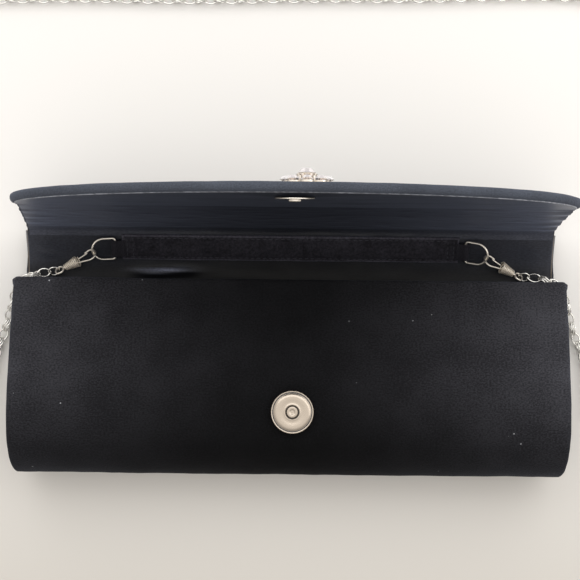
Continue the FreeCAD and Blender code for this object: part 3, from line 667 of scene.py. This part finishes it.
# A corded seam between the rim and the lining.
seam_path = [cover_point(*oval(phi, 2.2), 1.36) for phi in phis]
seam_parts, seam_faces = tube_parts(seam_path, 0.27, 8)
seam_uv = [(i // 8 * 1.2 * MM, i % 8 * 0.2 * MM) for i in range(len(seam_parts))]
# Painted highlight, brighter towards the side edges.
seam_tone = [1.3 + 1.8 * (point[0] / HALF) ** 2 for point in seam_parts]
flap_seam = new_object("flap_seam", seam_parts, seam_faces, SEAM_HIGHLIGHT, seam_uv, None, seam_tone)

foam_rows = []
for phi in phis[::2]:
    x, v_top = oval(phi, 1.6)
    outer = [(x, 2.7 + (v_top - 2.7) * part, -1.93) for part in np.linspace(0, 1, 24)]
    inner = [(x, 2.7 + (v_top - 2.7) * part, -0.95) for part in np.linspace(1, 0, 24)]
    foam_rows.append([cover_point(*point) for point in outer + inner])
flap_foam = grid_object("flap_padding", foam_rows, FOAM, close_columns=True)
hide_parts("flap_foam")
for piece in (flap_skin, flap_inside, flap_seam, flap_foam):
    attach(piece, "flap")

# ---- soft strip between the two folds ---------------------------------------------------
def arc_between(corner, way_in, way_out, radius, count=16):
    """Rounded corner in the side view."""
    angle = math.atan2(way_out[1], way_out[0]) - math.atan2(way_in[1], way_in[0])
    cut = radius * math.tan(abs(angle) / 2)
    start = corner - way_in * cut
    square = np.array((-way_in[1], way_in[0])) * math.copysign(1, angle)
    centre = start + square * radius
    points = []
    for turn in np.linspace(0, angle, count):
        spoke = start - centre
        turned = np.array((
            spoke[0] * math.cos(turn) - spoke[1] * math.sin(turn),
            spoke[0] * math.sin(turn) + spoke[1] * math.cos(turn)))
        points.append(centre + turned)
    return points


strip_points = [FOLD - SLOPE_WAY * 4.4]
strip_points += arc_between(FOLD, SLOPE_WAY, STRIP_WAY, 5.0)
strip_points += arc_between(CREASE, STRIP_WAY, COVER_WAY, 6.0)
strip_points.append(CREASE + COVER_WAY * 4.2)
strip_line = even_line(strip_points, 150)
strip_step = np.concatenate([[0], np.cumsum(np.linalg.norm(np.diff(strip_line, axis=0), axis=1))])
strip_total = strip_step[-1]
strip_in, _ = line_frame(strip_line)
SPLIT = 4.4 + 16.0


def strip_rise(x, s):
    """Folds of the soft cloth: deep notches at the sides, faint ones across the middle."""
    to_edge = 118.5 - abs(x)
    middle = s - 4.4
    fade = min(1.0, max(0.0, s - 1.0) / 3.0) * min(1.0, max(0.0, strip_total - s - 1.0) / 4.0)
    drift = 3.0 * noise.noise(Vector((x / 22, 3.3 + (x > 0), 1.0)))
    wander = middle + drift + 2.2 * noise.noise(Vector((0.4, middle / 5.0, float(x > 0))))
    notch = math.sin(wander * 2 * math.pi / 7.4) * math.exp(-max(0.0, to_edge) / 5.5)
    fold = noise.noise(Vector((x / 48, middle / 8.0, 6.6)))
    return fade * ((0.42 if x > 0 else 0.22) * notch + 0.20 * fold)


def strip_piece(name, low, high, material_in, material_out):
    """Lining and cover of one length of strip, with rounded, puckered side edges."""
    chosen = [i for i in range(len(strip_line)) if low - 1e-6 <= strip_step[i] <= high + 1e-6]
    across = [(x, 1.0) for x in np.linspace(-117.4, 117.4, 130)]
    turn = [(117.4 + 0.95 * math.sin(a), math.cos(a)) for a in np.linspace(0, math.pi, 9)]
    loop = across + turn[1:-1] + [(x, -1.0) for x, _ in across[::-1]] + [(-x, c) for x, c in turn[1:-1][::-1]]
    points = np.zeros((len(chosen), len(loop), 3))
    uv = np.zeros((len(chosen), len(loop), 2))
    for k, i in enumerate(chosen):
        for j, (x, level) in enumerate(loop):
            s = strip_step[i]
            rise = strip_rise(x, s)
            pucker = (1.1 if x > 0 else 0.6) * noise.noise(Vector((s / 2.1, 1.7, float(x > 0))))
            slide = COVER_SHIFT * min(1.0, max(0.0, (s - 6.0) / 30.0))
            reach = x + slide + math.copysign(side_weight(x, 6) * pucker, x)
            half = 0.85 + 0.2 * max(0.0, noise.noise(Vector((x / 9, s / 3, 2.0))))
            offset = rise + level * half
            points[k, j] = (reach, *(strip_line[i] + strip_in[i] * offset))
            uv[k, j] = (x + 300 * (level < 0), s)
    # Painted light: the strip is lighter towards its side edges.
    tone = [1.1 + 4.4 * (x / HALF) ** 2 for _ in chosen for x, _ in loop]
    made = grid_object(name, points, material_in, uv, flip=True, close_columns=True, tone=tone)
    made.data.materials.append(material_out)
    inside = set(range(len(across)))
    for polygon in made.data.polygons:
        column = polygon.vertices[0] % len(loop)
        polygon.material_index = 0 if column in inside else 1
    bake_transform(made)
    return made


strip_low = strip_piece(
    "strip_lower", 0, SPLIT + 0.6, LINING, CREPE)
strip_high = strip_piece(
    "strip_upper", SPLIT, strip_total, LINING, CREPE)
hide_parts("strip_cover")
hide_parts("strip_lining")

# ---- strap, tabs and rings --------------------------------------------------------------
WALL_BASE = np.array((36.7785, 5.791))
SLOPE_UP = np.array((-SLOPE_WAY[1], SLOPE_WAY[0]))


def on_wall(x, y, height):
    along = (y - WALL_BASE[0]) / SLOPE_WAY[0]
    point = WALL_BASE + SLOPE_WAY * along + SLOPE_UP * height
    return (x, point[0], point[1])


def strap_height(x, y):
    centre = 39.0
    to_edge = min(y - 33.4, 44.6 - y)
    crown = 0.35 * (1 - ((y - centre) / 5.6) ** 2)
    groove = -0.22 * math.exp(-((to_edge - 1.4) / 0.45) ** 2)
    for line in (73.6, 70.9):
        groove -= 0.20 * math.exp(-((abs(x) - line) / 0.45) ** 2)
    return 1.35 + crown + groove + 0.09 * waves(x, y, 8)


strap_x = np.concatenate([np.linspace(-76, -66, 34), np.linspace(-65.5, 65.5, 150), np.linspace(66, 76, 34)])
strap_y = np.linspace(33.4, 44.6, 46)
rows, row_uv, strap_tone = [], [], []
for x in strap_x:
    top = []
    for y in strap_y:
        edge = min(1.0, min(y - 33.4, 44.6 - y, 76 - abs(x) + 0.0) / 0.6)
        lift = 0.45 + (strap_height(x, y) - 0.45) * math.sqrt(max(0.0, 1 - (1 - edge) ** 2))
        top.append((x, y + 0.22 * noise.noise(Vector((x / 12, y / 40, 8.0))), lift))
    under = [(x, y, 0.42) for y in strap_y[::-1]]
    rows.append([on_wall(*point) for point in top + under])
    row_uv.append([(x, y) for _, y, _ in top] + [(x, y + 30) for _, y, _ in under])
    # Tone that differs at random, plus a painted highlight along the strap's folded border.
    for y in strap_y:
        border_highlight = math.exp(-((min(y - 33.4, 44.6 - y, 76 - abs(x)) - 0.4) / 0.4) ** 2)
        strap_tone.append(1.1 + 0.35 * waves(x, y, 4) + 2.2 * border_highlight)
    strap_tone += [1.0] * len(under)
strap = grid_object("ring_band", rows, SUEDE, row_uv, flip=False, close_columns=True, tone=strap_tone)
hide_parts("ring_strap")


def stitch(a, b, radius=0.17):
    """One stitch: a short thread that dips into the cloth at both ends."""
    a, b = np.array(a), np.array(b)
    points = []
    for t in np.linspace(0, 1, 6):
        x, y, h = a + (b - a) * t
        points.append(on_wall(x, y, h - 0.16 + 0.26 * math.sin(math.pi * t)))
    return tube_parts(points, radius, 5)


stitches = []
for y in (34.8, 43.2):
    x = -72.0
    while x < 71:
        stitches.append(stitch((x, y, strap_height(x, y)), (x + 1.9, y, strap_height(x + 1.9, y))))
        x += 2.7
for x in (-73.6, -70.9, 70.9, 73.6):
    y = 35.2
    while y < 42:
        stitches.append(stitch((x, y, strap_height(x, y)), (x, y + 1.5, strap_height(x, y + 1.5))))
        y += 2.1
strap_thread = joined("strap_stitches", stitches, THREAD)

for side, sign in (("left", -1), ("right", 1)):
    loop = [
        (74.6, 0.5), (76.6, 0.55), (78.2, 0.42), (79.6, 0.55), (80.5, 1.1), (80.75, 1.75),
        (80.45, 2.45), (79.6, 2.95), (78.6, 3.02), (77.4, 2.7), (76.2, 2.3), (74.6, 2.0),
    ]
    loop = even_line(loop, 40)
    rows, row_uv = [], []
    across = np.linspace(-3.6, 3.6, 22)
    for k, a in enumerate(across):
        taper = math.sqrt(max(0.0, 1 - (abs(a) / 3.6) ** 8)) * 0.12 + 0.88
        rows.append([
            on_wall(sign * x, 38.6 + a, 1.6 + (h - 1.6) * taper + 0.05 * waves(x, a * 3, 6))
            for x, h in loop
        ])
        row_uv.append([(a, 40 + 1.2 * j) for j in range(len(loop))])
    rows.insert(0, [on_wall(sign * (77.6 + (x - 77.6) * 0.5), 35.05, 1.6 + (h - 1.6) * 0.5) for x, h in loop])
    rows.append([on_wall(sign * (77.6 + (x - 77.6) * 0.5), 42.15, 1.6 + (h - 1.6) * 0.5) for x, h in loop])
    row_uv = [row_uv[0]] + row_uv + [row_uv[-1]]
    tab = grid_object("tab_" + side, rows, SUEDE, row_uv, flip=sign > 0, close_columns=True)
    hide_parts("ring_tab_" + side)

# ---- clasps -----------------------------------------------------------------------------
CLASPS = {
    "left": (
        (-88.7481, 35.6268, 9.0754), (-0.8876, -0.4495, -0.1007), (-0.2697, 0.6843, -0.6775),
        (0.3734, -0.5742, -0.7286)),
    "right": (
        (88.0427, 34.6884, 11.1832), (0.87, -0.4412, -0.22), (0.1701, 0.6874, -0.706),
        (0.4627, 0.5768, 0.6731)),
}
for side, (origin, forward, lateral, normal) in CLASPS.items():
    origin, forward, lateral, normal = (np.array(v) for v in (origin, forward, lateral, normal))
    turns, per_turn = 8, 26
    wire = []
    for k in range(turns * per_turn + 1):
        part = k / (turns * per_turn)
        turn = 2 * math.pi * turns * part
        radius = 2.9 - 1.4 * part - 0.35
        along = 7.4 + 0.42 + (15.0 - 0.84 - 7.4) * part
        wire.append(origin + forward * along + (lateral * math.cos(turn) + normal * math.sin(turn)) * radius)
    coil = joined("spring_" + side, [tube_parts(wire, 0.31, 10)], SPRING)
    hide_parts("clasp_" + side + "_coil")
    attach(coil, "clasp_" + side)

# ---- snap -------------------------------------------------------------------------------
lift = SNAP_AT + SNAP_UP * 0.15
case = lathe("socket_case", [
    (2.95, 0.9), (2.95, 2.40), (3.05, 2.56), (3.25, 2.62), (3.5, 2.54), (3.8, 2.42), (4.2, 2.40), (4.8, 2.50),
    (5.6, 2.68), (6.4, 2.74), (7.1, 2.60), (7.7, 2.28), (8.2, 1.92), (8.4, 1.86), (8.6, 1.98), (8.8, 2.06),
    (8.94, 1.98), (9.0, 1.85), (9.0, 0.3), (8.85, 0.12), (8.5, 0.1), (8.5, 1.75), (3.45, 1.75), (3.45, 0.9),
    (2.95, 0.9)], lift, SNAP_UP, SNAP_METAL, 96, 60)
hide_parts("snap_socket_case")
rivet = lathe("socket_rivet", [
    (0.02, -2.8), (1.25, -2.8), (1.25, 0.6), (2.4, 0.6), (2.42, 1.0), (2.3, 1.3), (1.95, 1.42), (1.4, 1.4),
    (1.1, 1.25), (0.9, 1.1), (0.6, 1.05), (0.02, 1.15)], lift, SNAP_UP, SNAP_METAL, 48)
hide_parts("snap_socket_rivet")
stud_base = Vector(cover_point(-0.5, 56.9, 0))
stud_axis = Vector((0, *(COVER_UP - 0.093 * COVER_WAY)))      # tipped a little on the soft lining
stud = lathe("stud", [
    (0.02, 2.50), (7.2, 2.56), (7.5, 2.64), (7.6, 2.80), (7.6, 2.98), (7.5, 3.10), (7.1, 3.16), (2.8, 3.20),
    (2.5, 3.28), (2.4, 3.42), (2.4, 3.80), (2.32, 4.0), (2.1, 4.12), (1.6, 4.2), (0.02, 4.2)],
    stud_base, stud_axis, NICKEL)
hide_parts("snap_stud")
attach(stud, "flap")

# ---- shoulder chain ---------------------------------------------------------------------
ROUTE = [
    (-109.3, 26.9, 8.0), (-115.6, 26.2, 8.8), (-121.2, 22.4, 9.3), (-124.6, 16.6, 7.0),
    (-126.9, 9.6, 3.4), (-129.3, 0.6, 2.3), (-133.6, -10.6, 2.3), (-136.3, -21.6, 2.3),
    (-137.4, -34.3, 2.3), (-148.2, -40.7, 2.3), (-159.2, -34.3, 2.3), (-158.9, -21.4, 2.3),
    (-156.2, -6.0, 2.3), (-150.6, 14.0, 2.3), (-146.6, 38.0, 2.3), (-145.4, 66.0, 2.3),
    (-146.6, 96.0, 2.3), (-150.6, 121.0, 2.3), (-153.6, 137.0, 2.3), (-147.0, 150.8, 2.3),
    (-130.4, 151.0, 2.3), (-98.0, 151.9, 2.3), (-42.0, 151.3, 2.3), (10.0, 153.0, 2.3),
    (58.0, 153.1, 2.3), (104.0, 155.0, 2.3), (134.4, 154.6, 2.3), (150.4, 151.4, 2.3),
    (155.0, 136.6, 2.3), (151.6, 114.0, 2.3), (147.2, 88.0, 2.3), (145.6, 60.0, 2.3),
    (147.6, 33.0, 2.3), (153.6, 10.0, 2.3), (157.8, -8.0, 2.3), (159.1, -23.0, 2.3),
    (159.0, -37.0, 2.3), (148.0, -43.4, 2.3), (137.4, -37.0, 2.3), (136.8, -25.6, 2.3),
    (135.6, -15.6, 2.3), (133.2, -7.4, 2.3), (129.2, 1.4, 2.3), (126.8, 10.0, 3.4),
    (124.4, 17.0, 7.0), (120.7, 22.8, 9.3), (114.8, 26.4, 8.8), (108.4, 26.7, 8.0),
]
route = bpy.data.curves.new("route", "CURVE")
route.dimensions = "3D"
spline = route.splines.new("NURBS")
spline.points.add(len(ROUTE) - 1)
for point, place in zip(spline.points, ROUTE):
    point.co = (*(c * MM for c in place), 1)
spline.order_u = 3
spline.use_endpoint_u = True
spline.resolution_u = 12
route_object = bpy.data.objects.new("route", route)
scene.collection.objects.link(route_object)
bpy.context.view_layer.update()
line_mesh = bpy.data.meshes.new_from_object(route_object)
chain_line = np.array([v.co for v in line_mesh.vertices]) / MM
bpy.data.objects.remove(route_object)
chain_length = np.linalg.norm(np.diff(chain_line, axis=0), axis=1).sum()
chain_fine = even_line(chain_line, 4001)
chain_way, chain_side, chain_up = frames_along(chain_fine)


def chain_at(s):
    place = min(max(s / chain_length, 0.0), 1.0) * 4000
    i = min(int(place), 3999)
    f = place - i
    return tuple(a[i] * (1 - f) + a[i + 1] * f for a in (chain_fine, chain_way, chain_side, chain_up))


LINKS = round(chain_length / 4.75)
pitch = (chain_length - 3.4) / (LINKS - 1)
WIRE = 0.38
links = []
for k in range(LINKS):
    middle = 1.7 + pitch * k
    centre, way, side, up = chain_at(middle)
    way = way / np.linalg.norm(way)
    swirl = k % 2 == 1
    base = 0.5 * math.pi * swirl + random.uniform(-0.2, 0.2)
    for copy in ((-1, 0, 1) if swirl else (-0.5, 0.5)):
        ring = []
        for j in range(18):
            a = 2 * math.pi * j / 18
            along = (pitch / 2 + 2 * WIRE - 0.1) * math.cos(a)
            wide = (1.80 if swirl else 1.62) * math.sin(a) * (1 - 0.12 * math.cos(2 * a))
            turn = base + (0.75 if swirl else 0.30) * math.cos(a) + copy * (0.34 if swirl else 0.16)
            across = side * math.cos(turn) + up * math.sin(turn)
            square = up * math.cos(turn) - side * math.sin(turn)
            ring.append(centre + way * along + across * wide + square * copy * WIRE)
        links.append(tube_parts(ring, WIRE, 6, closed=True))
chain = joined("chain_links", links, CHAIN_METAL)
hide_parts("shoulder_chain")

# ---- materials of the CAD pieces that stay ----------------------------------------------
FINISH = {
    "front_board": (BOARD, "board"), "bottom_board": (BOARD, "board"), "back_board": (BOARD, "board"),
    "flap_board": (BOARD, "board"), "snap_magnet": (MAGNET, "magnet"),
    "snap_socket_base": (DARK_STEEL, "steel"),
    "snap_socket_washer": (STEEL, "steel"), "snap_stud_washer": (STEEL, "steel"),
    "brooch_plate": (SILVER, "silver"), "brooch_setting": (SILVER, "silver"),
    "brooch_claws": (SILVER, "silver"), "brooch_posts": (STEEL, "steel"), "brooch_washers": (STEEL, "steel"),
    "brooch_centre_stone": (RHINESTONE, "rhinestone"), "brooch_side_stones": (PALE, "pale_stone"),
    "brooch_petal_stones": (RHINESTONE, "rhinestone"), "brooch_small_stones": (RHINESTONE, "rhinestone"),
    "d_ring_left": (NICKEL, "nickel"), "d_ring_right": (NICKEL, "nickel"),
    "clasp_left_hook": (NICKEL, "nickel"), "clasp_right_hook": (NICKEL, "nickel"),
    "clasp_left_gate": (NICKEL, "nickel"), "clasp_right_gate": (NICKEL, "nickel"),
    "chain_ring_left": (CHAIN_METAL, "chain"), "chain_ring_right": (CHAIN_METAL, "chain"),
}
for name, (material, slot_name) in FINISH.items():
    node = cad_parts[name]
    node.data.materials.clear()
    node.data.materials.append(material)
for piece in (front_panel, back_panel, body_sheet, strap, strap_thread, chain, case, rivet, *end_pieces):
    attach(piece, "root")
for side in ("left", "right"):
    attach(bpy.data.objects["tab_" + side], "root")

# ---- floor, light and background --------------------------------------------------------
floor_material, floor_tree, floor_shader = principled("floor", (0.84, 0.82, 0.80), 0.8)
floor_place = floor_tree.nodes.new("ShaderNodeTexCoord")
floor_axes = floor_tree.nodes.new("ShaderNodeSeparateXYZ")
# The floor's colour darkens towards -Y, in front of the bag: painted shade.
floor_span = floor_tree.nodes.new("ShaderNodeMapRange")
floor_span.inputs["From Min"].default_value = -0.115
floor_span.inputs["From Max"].default_value = 0.020
floor_shade_ramp = floor_tree.nodes.new("ShaderNodeValToRGB")
floor_shade_ramp.color_ramp.elements[0].color = (0.61, 0.585, 0.545, 1)
floor_shade_ramp.color_ramp.elements[1].color = (0.84, 0.825, 0.805, 1)
floor_tree.links.new(floor_place.outputs["Object"], floor_axes.inputs["Vector"])
floor_tree.links.new(floor_axes.outputs["Y"], floor_span.inputs["Value"])
floor_tree.links.new(floor_span.outputs["Result"], floor_shade_ramp.inputs["Fac"])
floor_tree.links.new(floor_shade_ramp.outputs["Color"], floor_shader.inputs["Base Color"])
FLOOR_HALF, FLOOR_Z = 1500, -0.12
floor_corners = [(x * FLOOR_HALF, y * FLOOR_HALF, FLOOR_Z) for x, y in ((-1, -1), (1, -1), (1, 1), (-1, 1))]
floor = new_object("floor", floor_corners, [(0, 1, 2, 3)], floor_material, None, 0)

world = bpy.data.worlds.new("room")
scene.world = world
world.use_nodes = True
sky = world.node_tree.nodes["Background"]
sky.inputs["Strength"].default_value = 1.24
where = world.node_tree.nodes.new("ShaderNodeTexCoord")
parts = world.node_tree.nodes.new("ShaderNodeSeparateXYZ")
blend_sky = world.node_tree.nodes.new("ShaderNodeMath")
blend_sky.operation = "MULTIPLY_ADD"
blend_sky.inputs[1].default_value = 0.35
room_ramp = world.node_tree.nodes.new("ShaderNodeValToRGB")
room_ramp.color_ramp.elements[0].position = 0.0
room_ramp.color_ramp.elements[0].color = (0.25, 0.232, 0.218, 1)
room_ramp.color_ramp.elements[1].position = 0.9
room_ramp.color_ramp.elements[1].color = (1.0, 0.97, 0.93, 1)
world.node_tree.links.new(where.outputs["Generated"], parts.inputs["Vector"])
world.node_tree.links.new(parts.outputs["Y"], blend_sky.inputs[0])
world.node_tree.links.new(parts.outputs["Z"], blend_sky.inputs[2])
world.node_tree.links.new(blend_sky.outputs[0], room_ramp.inputs["Fac"])
world.node_tree.links.new(room_ramp.outputs["Color"], sky.inputs["Color"])


def area_light(name, place, aim, size, power, colour):
    data = bpy.data.lights.new(name, "AREA")
    data.shape = "RECTANGLE"
    data.size, data.size_y = size
    data.energy = power
    data.color = colour
    lamp = bpy.data.objects.new(name, data)
    scene.collection.objects.link(lamp)
    lamp.location = place
    way = Vector(aim) - Vector(place)
    lamp.rotation_euler = way.to_track_quat("-Z", "Y").to_euler()


area_light("window", (0.04, 0.56, 0.66), (0, 0.10, 0), (1.5, 0.7), 3.3, (0.97, 0.985, 1.0))
area_light("fill", (0.9, 0.1, 0.8), (0, 0, 0), (0.6, 0.6), 1.2, (1.0, 0.98, 0.96))
scene.view_settings.view_transform = "Standard"
scene.view_settings.look = "None"
